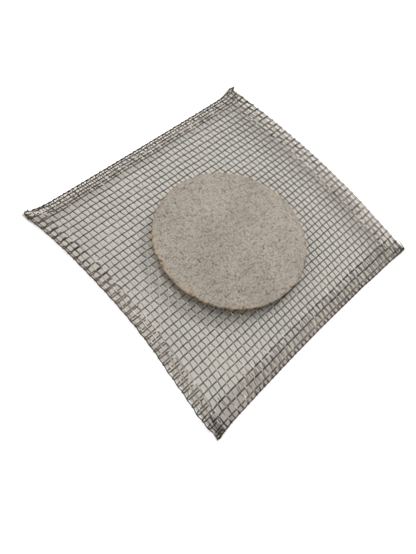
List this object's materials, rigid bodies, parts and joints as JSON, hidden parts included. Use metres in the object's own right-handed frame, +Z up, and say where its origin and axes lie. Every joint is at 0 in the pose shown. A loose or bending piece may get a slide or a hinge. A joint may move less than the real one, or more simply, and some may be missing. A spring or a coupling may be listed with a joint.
{
  "type": "wire gauze",
  "caption": "Square sheet of woven steel wire with folded hems and a round ceramic pad in its middle, laid on a tripod to spread a burner's flame under glassware.",
  "frame": {"origin": "middle of the box round the sheet as it lies, on the table under it", "axes": "+X along the straight wires towards the wide side hem, +Y along the bowed wires towards the back hem, +Z up"},
  "size_m": [0.131, 0.129, 0.0062],
  "materials": {
    "steel_wire": "dulled by heat, with bright glints",
    "ceramic": "matt, fibrous and slightly scorched at the rim"
  },
  "bodies": {
    "root": {"wire_mesh": "steel_wire", "ceramic_pad": "ceramic"}
  },
  "joints": []
}
